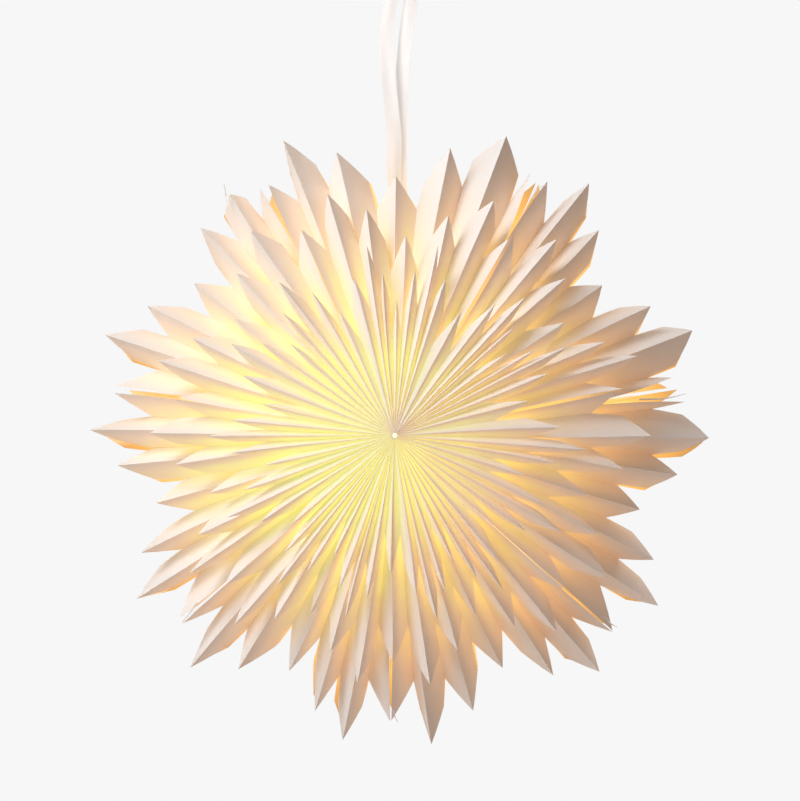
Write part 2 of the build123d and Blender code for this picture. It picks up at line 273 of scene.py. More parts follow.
# The tape's emission is painted light, for light that shines through the thin tape.
tape_finish, tape_shader = new_finish(
    "woven tape", Roughness=0.62, Sheen_Weight=0.25, Emission_Strength=1.0
)
tape_place = add_node(tape_finish, "ShaderNodeUVMap", uv_map="tape").outputs["UV"]
tape_threads = add_node(
    tape_finish, "ShaderNodeMapping", [("Vector", tape_place), ("Scale", (18, 26, 1))]
).outputs["Vector"]
warp = stripes(tape_finish, tape_threads, 1.0, "X")
weft = stripes(tape_finish, tape_threads, 1.0, "Y")
weave = math_step(tape_finish, "MULTIPLY", warp, weft)
relief(tape_finish, tape_shader, weave, 0.35, 0.0002)
soiling = add_node(tape_finish, "ShaderNodeTexNoise", [("Scale", 60.0), ("Detail", 3.0)])
tint(
    tape_finish, tape_shader, "Base Color", soiling.outputs["Fac"],
    (0.3, (0.56, 0.54, 0.53)), (0.7, (0.60, 0.58, 0.57)),
)
# Painted light: the tape's even glow grows warmer and brighter towards its lower end, near the
# star.
tape_along = add_node(
    tape_finish, "ShaderNodeSeparateXYZ", [(0, spot_on(tape_finish))]
).outputs["Z"]
painted_glow_share = add_node(
    tape_finish,
    "ShaderNodeMapRange",
    [("Value", tape_along), ("From Min", -0.13), ("From Max", -0.24)],
).outputs["Result"]
tint(
    tape_finish, tape_shader, "Emission Color", painted_glow_share,
    (0.0, (0.40, 0.37, 0.355)), (1.0, (0.50, 0.40, 0.31)),
)
ribbon.data.materials.append(tape_finish)

# ---------------------------------------------------------------- paper fans
# The star is 42 fans of thin white card, three rows deep in front and three behind, in seven
# sections glued side by side. Each is folded to and fro, its edge is cut to pickets whose tips
# have curled a little, and the lamp inside shines through it, painted on the card as a glow
# and a yellower colour.
card = 0.4  # measured along the star's axis
hole_radius = 3.6
point_drop = 26.0
picket_step = 29.5
rear_shorter = 3  # the rear pickets end this much nearer the axis than the front ones
seam_half_gap = 0.13  # degrees from a seam to the foot of the crest beside it
rear_half_gap = 0.3  # degrees
row_inset = 0.25  # degrees from a seam to the first crest of a rear middle or inner fan
rear_sag = 1.1  # degrees
stray_angle = 1.7  # one rear picket at the lower left stands this far out of line
first_stations = (9, 18, 30, 46, 66)  # radii near the pole where the folds have points
station_step = 24
bend_share = 0.72  # a picket's own length starts this far out, as a share of the shortest one's
splay_start = 190  # out to here the seam pickets' crests lie along the seam
curl_length = 50
flap_start = 60  # the glue flaps' two ends and the distance between their points
flap_end = 232
flap_step = 43
flap_drops = (1.2, 5.0, 9.0)  # how far in from the crest each line of a flap lies
strip_half_width = 0.9
no_fold = 5.0  # a distance from the nearest fold that is too far for its painted shade
written = ("lamp", "day", "share", "fold", "inside")  # what the faces' corners tell the finish
# How far chance takes one picket or face from the next, in millimetres, degrees and shares.
tip_range = (-2, 3)
curl_range = (-4, 5.5)
sway_range = (-0.8, 0.8)
closing_range = (0.12, 0.34)
bow_range = (-1.4, 1.8)
trough_range = (-0.08, 0.08)
rows = {  # depth at the pole, crest slope, trough slope, longest nominal radius
    "outer": (126.2, 0.3467, 0.4578, 300.0),
    "middle": (127.1, 0.2156, 0.3267, 239.0),
    "inner": (128.0, 0.1124, 0.1956, 178.0),
}
# Where the crests of each front fan lie, as angles about the star's axis from the left seam
# to the right one. The first and last are the half pickets on the seams. These angles, the
# troughs, seams and torn strips below were read on the photo by eye, and scratch scripts turned
# the readings into angles about the axis.
front_crests = {
    "outer": (
        (118.1, 112.0, 102.8, 90.8, 80.0, 70.4, 63.4),
        (59.6, 52.8, 45.5, 36.0, 26.7, 19.2, 11.4),
        (6.1, -1.1, -8.6, -17.7, -26.7, -34.0, -43.1),
        (-43.3, -50.3, -57.8, -66.4, -75.4, -84.4, -91.8),
        (-92.0, -100.7, -107.0, -114.9, -124.3, -131.7, -138.6),
        (-139.8, -147.6, -154.9, -163.7, -173.1, -180.2, -187.6),
        (-189.1, -198.0, -206.3, -215.9, -225.5, -234.2, -240.1),
    ),
    "middle": (
        (115.3, 106.4, 97.8, 87.5, 76.8, 67.6, 60.2),
        (59.6, 50.7, 42.8, 33.7, 23.9, 18.0, 11.4),
        (11.0, -0.4, -8.8, -17.8, -26.5, -34.4, -42.5),
        (-42.9, -51.2, -58.7, -66.6, -74.4, -82.6, -91.0),
        (-91.4, -99.2, -107.1, -115.8, -123.5, -130.5, -138.6),
        (-139.1, -146.1, -153.0, -162.4, -172.0, -180.0, -188.6),
        (-189.2, -196.8, -204.9, -215.3, -224.8, -234.0, -244.5),
    ),
    "inner": (
        (114.3, 105.0, 98.8, 94.6, 89.6, 83.2, 77.4, 72.2, 62.3),
        (61.9, 52.8, 46.8, 42.1, 36.3, 31.4, 27.2, 22.0, 14.6),
        (14.2, 2.8, -4.4, -9.9, -17.3, -24.8, -30.3, -36.3, -42.5),
        (-42.9, -50.7, -55.3, -60.3, -65.3, -72.3, -77.4, -82.6, -91.8),
        (-92.2, -100.0, -105.4, -110.2, -116.9, -122.8, -128.3, -133.4, -139.1),
        (-139.5, -147.1, -153.8, -160.0, -167.0, -173.6, -179.5, -185.0, -193.0),
        (-193.4, -201.0, -208.8, -214.4, -221.0, -227.2, -232.6, -239.6, -245.4),
    ),
}
outer_troughs = (  # where each outer trough lies from the crest on its left to the next one
    (0.70, 0.57, 0.56, 0.46, 0.42, 0.62),
    (0.67, 0.60, 0.50, 0.57, 0.57, 0.64),
    (0.33, 0.56, 0.55, 0.54, 0.50, 0.40),
    (0.59, 0.64, 0.59, 0.53, 0.51, 0.36),
    (0.63, 0.54, 0.55, 0.48, 0.50, 0.50),
    (0.66, 0.55, 0.46, 0.42, 0.41, 0.36),
    (0.57, 0.47, 0.48, 0.49, 0.45, 0.36),
)
# How far each outer picket's tip is from the axis. Most follow the tips that a scratch script
# found along the star's outline in the photo, rounded.
outer_tips = (
    (271, 305, 277, 246, 278, 304, 280),
    (280, 301, 273, 240, 270, 298, 267),
    (276, 298, 270, 242, 274, 301, 281),
    (282, 302, 278, 248, 280, 306, 281),
    (282, 307, 284, 256, 280, 310, 283),
    (282, 307, 280, 246, 279, 304, 281),
    (280, 303, 275, 245, 277, 284, 272),
)
seams = (118.9, 61.1, 8.4, -43.3, -92.1, -139.5, -188.9, -241.1)
# Thin torn strips that curl off the front edges, as (radius, angle, depth) along each of them.
torn_strips = {
    2: ((258, 60.6, 36), (269, 60.6, 35), (276, 59.4, 38)),
    3: ((232, 7.9, 44), (254, 7.3, 38), (264, 7.4, 36), (277, 7.7, 34)),
    4: ((266, -41.9, 33), (275, -42.3, 32), (281, -41.9, 34)),
    5: ((270, -91.5, 33), (277, -91.1, 31), (282, -90.4, 33)),
    6: ((258, -139.9, 37), (271, -139.2, 33), (282, -138.8, 35)),
    7: ((276, 127.3, 31), (284, 126.6, 29), (295, 125.4, 33)),
}
# How strongly the lamp shines through each row, and on the cards' inner side, by the distance
# from the axis in millimetres, for the glow painted on the card.
lamp_through = {
    "outer": ((150, 0.75), (195, 0.5), (212, 0.38), (232, 0.27), (255, 0.17), (285, 0.08)),
    "middle": ((100, 0.95), (150, 0.66), (178, 0.46), (198, 0.3), (225, 0.17), (240, 0.1)),
    "inner": ((5, 0.8), (16, 1.0), (30, 1.1), (70, 1.0), (105, 0.68), (135, 0.4), (178, 0.15)),
}
lamp_inside = ((0, 1.2), (150, 1.0), (200, 0.75), (240, 0.5), (270, 0.28), (300, 0.12))
shadow_depth = 0.55  # the holder's shadow painted on the card round the poles, and how far it reaches
shadow_reach = 60
right_side_loss = 0.28  # how much less of the lamp shows on the right than in the middle
# painted light from the key light, caught between the folds on the left side
thrown_back = 0.2
key_side = Vector((-0.44, -0.56, 0.70)).normalized()  # the two sides that daylight comes from
fill_side = Vector((-0.80, -0.58, 0.12)).normalized()


def star_spot(radius, angle, depth, back):
    """The place at a radius and angle about the axis, this far before or behind the middle."""
    turn = radians(angle)
    return star_centre + Vector((radius * cos(turn), depth * back, radius * sin(turn))) * mm


def degrees_wide(width, radius):
    """The angle that a width spans at this radius."""
    return width / radius * 180 / pi


def shorter_by(step):
    """How much shorter than the longest a picket is, by its place from the section's middle."""
    return picket_step * abs(abs(step) - 2)


def daylight(face_side):
    """About how much daylight falls on a face that looks this way, from 0 to 1."""
    face_side = face_side.normalized()
    lit = 0.6 * max(0.0, face_side.dot(key_side)) + 0.5 * max(0.0, face_side.dot(fill_side))
    return min(1.0, lit)


def fan_pickets(section, row, crests, back, chance):
    """Each picket's crest angle at its tip and along its foot, and how its tip is bent."""
    last = len(crests) - 1
    left_seam, right_seam = seams[section - 1 : section + 1]
    pickets = []
    for number, angle in enumerate(crests):
        shorter = shorter_by(number - last // 2)
        nominal = rows[row][3] - shorter
        tip = nominal + shorter * 0.15 + chance.uniform(*tip_range)
        if row == "outer":
            tip = outer_tips[section - 1][number] - (rear_shorter if back == 1 else 0)
        curl = chance.uniform(*curl_range) * (1 if row == "outer" else 0.7)
        sway = chance.uniform(*sway_range)
        foot_angle = angle
        if row == "outer" and number == 0:
            foot_angle = left_seam - seam_half_gap
        if row == "outer" and number == last:
            foot_angle = right_seam + seam_half_gap
        closing = chance.uniform(*closing_range)
        pickets.append((angle, foot_angle, nominal, tip, curl, sway, closing))
    return pickets


def put_corner(loop, layer, lamp, day, share, fold, inside=0.0):
    """Writes on a face's corner what the card's finish reads there."""
    for key, value in zip(written, (lamp, day, share, fold, inside)):
        loop[layer[key]] = value


def shine_at(radius, lamp_table, outward):
    """The lamp's light in the card at this radius. The holder's shadow lies over the pole's
    upper side, and the left side, towards the key light, has that light between its folds."""
    between_folds = thrown_back * max(0.0, -outward.x) ** 3 * min(1.0, radius / 240)
    holder_shadow = shadow_depth * outward.z * max(0.0, 1 - radius / shadow_reach)
    kept = 1 - holder_shadow - right_side_loss * outward.x
    return between(radius, lamp_table) * kept + between_folds


def add_grid(work, layer, grid, flip, day, lamp_table, outward=Vector()):
    """Joins the lines of a grid with triangles. A grid point is (vertex, share, fold, radius)."""
    for near, far in zip(grid, grid[1:]):
        for k in range(len(near) - 1):
            for corners in ((near[k], far[k], far[k + 1]), (near[k], far[k + 1], near[k + 1])):
                if flip:
                    corners = corners[::-1]
                face = work.faces.new([corner[0] for corner in corners])
                for loop, (_, share, fold, radius) in zip(face.loops, corners):
                    lamp = shine_at(radius, lamp_table, outward)
                    put_corner(loop, layer, lamp, day, share, fold)


def add_back_sheet(work, layer, thickness, back):
    """Closes open sheets into thin ones by a second sheet behind them and a cut edge."""
    outside = list(work.faces)
    rim = [edge for edge in work.edges if len(edge.link_faces) == 1]
    behind = {}
    for vert in list(work.verts):
        behind[vert] = work.verts.new(vert.co + Vector((0, -thickness * back * mm, 0)))
    for face in outside:
        inner = work.faces.new([behind[loop.vert] for loop in reversed(face.loops)])
        for loop in inner.loops:
            flat = Vector((loop.vert.co.x, 0, loop.vert.co.z)) - Vector((0, 0, star_centre.z))
            lamp = between(flat.length / mm, lamp_inside)
            put_corner(loop, layer, lamp, day=0.3, share=1.0, fold=no_fold, inside=1.0)
    for edge in rim:
        loop = edge.link_loops[0]
        a, b = loop.vert, loop.link_loop_next.vert
        wall = work.faces.new((b, a, behind[a], behind[b]))
        for corner in wall.loops:
            put_corner(corner, layer, lamp=0.25, day=0.8, share=0.2, fold=no_fold)


def add_glue_flap(work, layer, seam_angle, to_middle, back):
    """The flap along a seam crest, folded straight back inside, with slanted ends."""
    pole, crest_slope = rows["outer"][:2]
    grid = []
    for radius in range(flap_start, flap_end + 1, flap_step):
        line = []
        for drop in flap_drops:
            inset = drop * 0.5
            place = min(max(radius, flap_start + inset), flap_end - inset)
            lean = to_middle * (0.02 - 0.1 * drop / 9)
            depth = pole - crest_slope * place - drop
            vert = work.verts.new(star_spot(place, seam_angle + lean, depth, back))
            line.append((vert, 1.0, no_fold, place))
        grid.append(line)
    add_grid(work, layer, grid, back * to_middle == 1, 0.5, lamp_through["outer"])


def add_torn_strip(work, layer, places, back):
    """A tapering strip of torn card along these places."""
    grid = []
    for number, (radius, angle, depth) in enumerate(places):
        half = degrees_wide(strip_half_width * (1 - number / len(places)), radius)
        line = []
        for side in (half, -half):
            vert = work.verts.new(star_spot(radius, angle + side, depth, back))
            line.append((vert, 0.3, no_fold, radius))
        grid.append(line)
    add_grid(work, layer, grid, back == 1, 0.6, lamp_through["outer"])


def fold_stations(shortest):
    """The radii at which the folds have points, out to the tip of the longest picket."""
    stations = [hole_radius, *first_stations]
    while stations[-1] + station_step < shortest - 5:
        stations.append(stations[-1] + station_step)
    return stations + [shortest + picket_step / 2 * n for n in range(5)]


def folded_fan(section, row, crests, troughs, back, seed):
    """One pleated fan as a thin closed sheet, its picket tips a little curled and its faces a
    little bowed. Back is -1 for a front fan and 1 for a rear one."""
    chance = Random(seed)
    pole, crest_slope, trough_slope, longest = rows[row]
    shortest = longest - 2 * picket_step - point_drop
    bend_start = shortest * bend_share
    stations = fold_stations(shortest)
    across = (0, 0.12, 0.4, 0.7, 1) if row != "inner" else (0, 0.15, 0.5, 1)
    work = bmesh.new()
    layer = {key: work.loops.layers.float.new(key) for key in written}
    usual = trough_slope - crest_slope
    card_width = hypot(usual, radians(360 / 7 / (len(crests) - 1) / 2))
    pickets = fan_pickets(section, row, crests, back, chance)
    for number, trough_share in enumerate(troughs):
        # the card is equally wide everywhere, so a fold that stands wide open is a shallow one
        spacing = pickets[number][1] - pickets[number + 1][1]
        trough_angle = pickets[number][1] - spacing * trough_share
        fall = sqrt(max(card_width**2 - radians(spacing / 2) ** 2, (0.55 * usual) ** 2))
        fall = min(fall, usual)
        joined = min(pickets[number][2], pickets[number + 1][2]) - point_drop
        for side, picket in enumerate(pickets[number : number + 2]):
            angle, foot_angle, nominal, tip, curl, sway, closing = picket
            shoulder = nominal - point_drop
            bow = chance.uniform(*bow_range)
            turn = radians((foot_angle + trough_angle) / 2)
            outward = Vector((cos(turn), 0, sin(turn)))
            onward = Vector((-sin(turn), 0, cos(turn))) * (-1 if side == 0 else 1)
            day = daylight(Vector((0, back, 0)) * 0.67 + onward + outward * 0.3)
            grid = []
            for station in [s for s in stations if s <= shoulder + 0.01]:
                stretch = max(0.0, (station - bend_start) / (shoulder - bend_start))
                crest_radius = station + (tip - shoulder) * stretch
                opening = max(0.0, (crest_radius - splay_start) / (tip - splay_start))
                crest_angle = foot_angle + (angle - foot_angle) * opening**1.3
                crest_angle += sway * sin(pi * min(1, crest_radius / tip))
                curled = max(0.0, (crest_radius - tip + curl_length) / curl_length) ** 2
                crest_depth = pole - crest_slope * crest_radius + curl * curled
                top = star_spot(crest_radius, crest_angle, crest_depth, back)
                # past its neighbour's shoulder a picket is free, and its fold springs closed
                closed = closing * max(0.0, station - joined) / max(1.0, shoulder - joined)
                trough_depth = pole - (crest_slope + fall * (1 + 0.3 * closed)) * station
                closed_angle = trough_angle + (crest_angle - trough_angle) * closed
                foot = star_spot(station, closed_angle, trough_depth, back)
                wide = (top - foot).length / mm
                line = []
                for share in across:
                    bulge = bow * sin(pi * share) * min(1, station / 200)
                    spot = top.lerp(foot, share) + Vector((0, bulge * back * mm, 0))
                    radius = crest_radius + (station - crest_radius) * share
                    fold = min(share, 1 - share) * wide
                    line.append((work.verts.new(spot), share, fold, radius))
                grid.append(line)
            for (vert, *_), share in zip(grid[-1], across):
                vert.co += outward * sin(pi * share) * 1.2 * mm
            flip = (side == 0) == (back == 1)
            add_grid(work, layer, grid, flip, day, lamp_through[row], outward)
    if row == "outer":
        for seam_picket, to_middle in ((pickets[0], -1), (pickets[-1], 1)):
            add_glue_flap(work, layer, seam_picket[1], to_middle, back)
        if back == -1 and section in torn_strips:
            add_torn_strip(work, layer, torn_strips[section], back)
    bmesh.ops.remove_doubles(work, verts=work.verts, dist=1e-6)
    add_back_sheet(work, layer, card, back)
    return work


def measured(material, name):
    """A value that was written on the mesh's corners."""
    return add_node(material, "ShaderNodeAttribute", attribute_name=name).outputs["Fac"]


def remap(material, value, low, high, out_low, out_high):
    """A value spread smoothly from one range to another, and held at its ends."""
    keys = ("Value", "From Min", "From Max", "To Min", "To Max")
    sources = zip(keys, (value, low, high, out_low, out_high))
    made = add_node(
        material, "ShaderNodeMapRange", sources, interpolation_type="SMOOTHSTEP"
    )
    return made.outputs["Result"]


def blend_colour(material, factor, a, b, kind="MIX"):
    """One colour blended into or multiplied by another. A colour is a value or a socket."""
    made = add_node(
        material, "ShaderNodeMix", [("Factor", factor)], data_type="RGBA", blend_type=kind
    )
    for socket, value in (("A", a), ("B", b)):
        slot = [i for i in made.inputs if i.name == socket and i.type == "RGBA"][0]
        if isinstance(value, bpy.types.NodeSocket):
            material.node_tree.links.new(value, slot)
        else:
            slot.default_value = (*value, 1)
    return [o for o in made.outputs if o.type == "RGBA"][0]


# The lamp's light through the card is painted: its emission glows with the lamp's shine written
# on the corners, less on the crests, and its base colour yellows with that shine and is warmer on
# the card's inner side.
paper_finish, paper_shader = new_finish(
    "folded card", Roughness=0.78, Specular_IOR_Level=0.25, Emission_Strength=1.0
)
place = spot_on(paper_finish)
cloudy = remap(paper_finish, noise(paper_finish, place, 22.0), 0.3, 0.7, 0.88, 1.08)
rib = remap(paper_finish, measured(paper_finish, "share"), 0.0, 0.6, 0.3, 1.0)
shine = math_step(paper_finish, "MULTIPLY", measured(paper_finish, "lamp"), cloudy)
shine = math_step(paper_finish, "MULTIPLY", shine, rib)
lamp_tinted_paper = ramp(
    paper_finish,
    shine,
    (0.0, (0.80, 0.775, 0.76)),
    (0.3, (0.79, 0.74, 0.69)),
    (0.6, (0.73, 0.69, 0.61)),
    (1.0, (0.63, 0.61, 0.44)),
)
glow = ramp(
    paper_finish,
    shine,
    (0.0, (0.10, 0.045, 0.025)),
    (0.3, (0.30, 0.15, 0.065)),
    (0.6, (0.42, 0.28, 0.075)),
    (1.0, (0.62, 0.56, 0.13)),
)
inside = measured(paper_finish, "inside")
lamp_tinted_paper = blend_colour(paper_finish, inside, lamp_tinted_paper, (0.74, 0.60, 0.40))
inside_glow = ramp(
    paper_finish,
    shine,
    (0.0, (0.12, 0.06, 0.02)),
    (0.4, (0.38, 0.22, 0.06)),
    (1.0, (0.76, 0.62, 0.24)),
)
glow = blend_colour(paper_finish, inside, glow, inside_glow)
fibres = noise(paper_finish, place, 900.0, 4.0)
speckle_and_fold_shade = remap(paper_finish, fibres, 0.35, 0.65, 0.965, 1.0)
# The fibres' speckle is darkened by painted shade along each fold.
painted_fold_shade = remap(paper_finish, measured(paper_finish, "fold"), 0.0, 0.7, 0.88, 1.0)
speckle_and_fold_shade = math_step(paper_finish, "MULTIPLY", speckle_and_fold_shade, painted_fold_shade)
paper_colour = blend_colour(paper_finish, 1.0, lamp_tinted_paper, speckle_and_fold_shade, "MULTIPLY")
# Each face's daylight, found from which way it faces the lights, is painted in too: shaded faces
# get a warmer base colour and more of the painted glow than lit ones.
day = measured(paper_finish, "day")
painted_shade_warmth = blend_colour(paper_finish, day, (1.0, 0.94, 0.87), (1.0, 1.0, 1.0))
paper_colour = blend_colour(paper_finish, 1.0, paper_colour, painted_shade_warmth, "MULTIPLY")
join(paper_finish, paper_colour, paper_shader, "Base Color")
glow_part = blend_colour(paper_finish, day, (1.0, 1.0, 1.0), (0.42, 0.46, 0.5))
glow_colour = blend_colour(paper_finish, 1.0, glow, glow_part, "MULTIPLY")
join(paper_finish, glow_colour, paper_shader, "Emission Color")
relief(paper_finish, paper_shader, fibres, 0.25, 0.00015)


def rear_crests(section, row):
    """Where a rear fan's crests lie. The outer ones hang a little lower than the front's at the
    sides, and their seam pickets stay side by side where the front ones have splayed. The other
    rows are even."""
    front = front_crests[row][section - 1]
    if row != "outer":
        pitch = (seams[section - 1] - seams[section] - 2 * row_inset) / (len(front) - 1)
        return [seams[section - 1] - row_inset - pitch * n for n in range(len(front))]
    before = front_crests[row][section - 2][-1] + (360 if section == 1 else 0)
    after = front_crests[row][section % 7][0] - (360 if section == 7 else 0)
    rear = [angle - rear_sag * cos(radians(angle)) ** 3 for angle in front]
    if section == 5:
        rear[2] -= stray_angle
    rear[0] = (front[0] + before) / 2 - rear_half_gap
    rear[-1] = (front[-1] + after) / 2 + rear_half_gap
    return rear


for section in range(1, 8):
    for row, row_seed in (("outer", 1), ("middle", 2), ("inner", 3)):
        seed = section * 10 + row_seed
        chance = Random(seed)
        crests = front_crests[row][section - 1]
        troughs = [0.5 + chance.uniform(*trough_range) for _ in crests[1:]]
        if row == "outer":
            troughs = outer_troughs[section - 1]
        halves = (("front", -1, crests), ("back", 1, rear_crests(section, row)))
        for half, back, angles in halves:
            name = f"section_{section}_{half}_{row}_fan"
            work = folded_fan(section, row, angles, troughs, back, seed)
            fan = new_piece(name, work, "star", "star_paper", name)
            fan.data.materials.append(paper_finish)

# ---------------------------------------------------------------- hanging ring
# A hanger of zinc-plated steel wire, 3 mm thick: a round eye for the ceiling hook, and welded
# under it a long closed frame, round whose foot bar the ribbon's two ends are folded and sewn.
ring_wire = 1.5
eye_line_radius = 11.5
frame_half = 19.0
frame_corner = 2.0
frame_top = -13.0
frame_foot = -21.0


def tube(work, line, radius, plane_normal, closed=False, sides=16):
    """Sweeps a round wire along a line that lies in the plane with this normal."""
    rings = []
    for number, place in enumerate(line):
        before = line[number - 1] if closed or number else place
        after = line[(number + 1) % len(line)] if closed or number < len(line) - 1 else place
        side = (after - before).normalized().cross(plane_normal)
        thick = radius[number] if isinstance(radius, tuple) else radius
        ring = []
        for k in range(sides):
            turn = 2 * pi * k / sides
            spot = place + (plane_normal * cos(turn) + side * sin(turn)) * thick
            ring.append(work.verts.new(spot * mm))
        rings.append(ring)
    for near, far in zip(rings, rings[1:] + rings[:1] if closed else rings[1:]):
        for k in range(sides):
            m = (k + 1) % sides
            work.faces.new((near[k], near[m], far[m], far[k]))
    if not closed:
        work.faces.new(rings[0])
        work.faces.new(rings[-1])
    bmesh.ops.recalc_face_normals(work, faces=work.faces)


def arc(centre, radius, start, end, steps):
    """Points on an upright arc about a centre, from one angle to another."""
    turns = [radians(start + (end - start) * k / steps) for k in range(steps + 1)]
    return [centre + Vector((cos(turn), 0, sin(turn))) * radius for turn in turns]


def weld_bead(work, place, size, seed):
    """A small uneven lump of weld metal."""
    chance = Random(seed)
    shape = Matrix.Translation(place * mm) @ Matrix.Diagonal((*(s * mm for s in size), 1))
    lump = bmesh.ops.create_icosphere(work, subdivisions=3, radius=1, matrix=shape)
    for vert in lump["verts"]:
        vert.co += (vert.co - place * mm) * chance.uniform(-0.06, 0.06)


def grainy(name, dark, light, scale, height, stretch=(1, 1, 1), **values):
    """A finish whose colour and height vary together with a fine noise."""
    finish, shader = new_finish(name, **values)
    drawn_out = add_node(
        finish, "ShaderNodeMapping", [("Vector", spot_on(finish)), ("Scale", stretch)]
    ).outputs["Vector"]
    grain = noise(finish, drawn_out, scale, 6.0)
    tint(finish, shader, "Base Color", grain, (0.35, dark), (0.65, light))
    relief(finish, shader, grain, 0.5, height)
    return finish


work = bmesh.new()
depthways = Vector((0, 1, 0))
eye_line = arc(Vector((0, 0, 0)), eye_line_radius, 0, 354, 59)
tube(work, eye_line, ring_wire, depthways, closed=True)
corner_x = frame_half - frame_corner
corner_top = frame_top - frame_corner
corner_foot = frame_foot + frame_corner
frame_line = []
for x, z, start in (
    (corner_x, corner_top, 0),
    (-corner_x, corner_top, 90),
    (-corner_x, corner_foot, 180),
    (corner_x, corner_foot, 270),
):
    frame_line += arc(Vector((x, 0, z)), frame_corner, start, start + 90, 6)
tube(work, frame_line, ring_wire, depthways, closed=True)
for x, seed in ((-4.6, 1), (0, 2), (4.6, 3)):
    weld_bead(work, Vector((x, 0, -12.3)), (2.4, 1.25, 1.0), seed)
hanging_ring = new_piece("hanging_ring", work, "hanger", "ring_steel", "hanging_ring")
zinc = grainy(
    "zinc plated wire", (0.52, 0.53, 0.54), (0.68, 0.68, 0.67), 700, 0.00008,
    Metallic=1.0, Roughness=0.34,
)
hanging_ring.data.materials.append(zinc)

# ---------------------------------------------------------------- hanging strap
# A strip of stiff white card folded like a staple inside the star's top. The yoke's bar bears
# up on its crest, the ribbon passes through its slot, and its legs are glued to the top fans.


def refinish(material, *names):
    """Gives this finish to CAD pieces whose shape stays as it is."""
    for name in names:
        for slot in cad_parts[name].material_slots:
            slot.material = material


strap_card = grainy(
    "stiff white card", (0.74, 0.71, 0.66), (0.80, 0.77, 0.72), 500, 0.0001,
    stretch=(1, 1, 0.4), Roughness=0.8,
)
refinish(strap_card, "hanging_strap")

# ---------------------------------------------------------------- eyelets and closing clips
# Punched rings of white card, which gather the folds behind each pole, and fourteen slim white
# plastic clips that close the last seam once the star is unfolded.
eyelet_card = grainy(
    "punched white card", (0.76, 0.72, 0.66), (0.82, 0.79, 0.74), 800, 0.00006, Roughness=0.75
)
refinish(eyelet_card, "front_eyelet", "back_eyelet")
clip_plastic = grainy(
    "moulded clip plastic", (0.78, 0.78, 0.76), (0.82, 0.82, 0.80), 260, 0.00002,
    Roughness=0.38, Coat_Weight=0.1,
)
refinish(clip_plastic, "closing_clips")

# ---------------------------------------------------------------- wire yoke
# A 3 mm steel wire bent to a tall stirrup and welded by its feet to a flat steel ring, which
# the lamp holder's flange sits on. Both have one coat of white powder paint.
yoke_half_width = 18.5
foot_level = 66.0
powder_coat = grainy(
    "white powder coat", (0.77, 0.77, 0.75), (0.84, 0.84, 0.82), 420, 0.00012,
    Roughness=0.42, Coat_Weight=0.2,
)
refinish(powder_coat, "wire_yoke", "carrier_ring")
work = bmesh.new()
for side in (-1, 1):
    foot = star_centre / mm + Vector((side * yoke_half_width, 0, foot_level + 0.5))
    weld_bead(work, foot, (2.5, 2.5, 0.9), 10 + side)
yoke_welds = new_piece("yoke_welds", work, "star", "yoke_wire")
yoke_welds.data.materials.append(powder_coat)

# ---------------------------------------------------------------- lamp holder
# A small screw holder of white moulded plastic: a threaded body, a domed cap over the wire
# room, a fluted nut that would grip the cord, and a ribbed ring that screws up the body.
holder_radius = 14.0
holder_bore = 7.95
thread_pitch = 2.82
wall_step = 0.35  # how far apart the points of a threaded wall are


def turned(work, profile, sides=72, shape=None, closed=True):
    """Turns a profile of (radius, height above the star's centre) round the lamp's axis. The
    shape gives what is added to a point's radius at its height and turn."""
    rings = []
    for radius, height in profile:
        ring = []
        for k in range(sides):
            turn = 2 * pi * k / sides
            wide = radius + (shape(radius, height, turn) if shape else 0)
            spot = star_centre + Vector((wide * cos(turn), wide * sin(turn), height)) * mm
            ring.append(work.verts.new(spot))
        rings.append(ring)
    for low, high in zip(rings, rings[1:] + rings[:1] if closed else rings[1:]):
        for k in range(sides):
            m = (k + 1) % sides
            work.faces.new((low[k], low[m], high[m], high[k]))
    bmesh.ops.remove_doubles(work, verts=work.verts, dist=1e-7)
    bmesh.ops.recalc_face_normals(work, faces=work.faces)


def wall(radius, low, high, step):
    """Profile points up or down a straight wall, close enough together to carry a thread."""
    count = max(1, round(abs(high - low) / step))
    return [(radius, low + (high - low) * k / count) for k in range(count + 1)]


def thread(radius, depth, low, high):
    """A rounded thread on the wall of this radius that fades out at both ends."""

    def shape(r, height, turn):
        if abs(r - radius) > 0.01 or not low < height < high:
            return 0
        fade = min(1, (height - low) / thread_pitch, (high - height) / thread_pitch)
        return depth * fade * (0.5 + 0.5 * cos(2 * pi * height / thread_pitch - turn))

    return shape


def turned_piece(name, body, slot, finish, profile, **how):
    """A turned piece that takes the place of the CAD piece of the same name."""
    work = bmesh.new()
    turned(work, profile, **how)
    piece = new_piece(name, work, body, slot, name)
    piece.data.materials.append(finish)


holder_plastic = grainy(
    "moulded holder plastic", (0.76, 0.76, 0.74), (0.81, 0.81, 0.79), 300, 0.00003,
    Roughness=0.4, Coat_Weight=0.15,
)
body_profile = (
    [(8.5, 30.0), (13.4, 30.0)]
    + wall(holder_radius, 30.6, 65.6, wall_step)
    + [(14.3, 66.0), (15.6, 66.0), (16.0, 66.4), (16.0, 69.6), (15.6, 70.0), (3.7, 70.0)]
    + [(3.2, 69.5), (3.2, 66.3), (3.5, 66.0), (7.6, 66.0), (holder_bore, 65.6)]
    + [(holder_bore, 30.6)]
)
body_thread = thread(holder_radius, -0.4, 32, 64)
turned_piece(
    "lamp_holder_body", "star", "holder_plastic", holder_plastic, body_profile, shape=body_thread
)

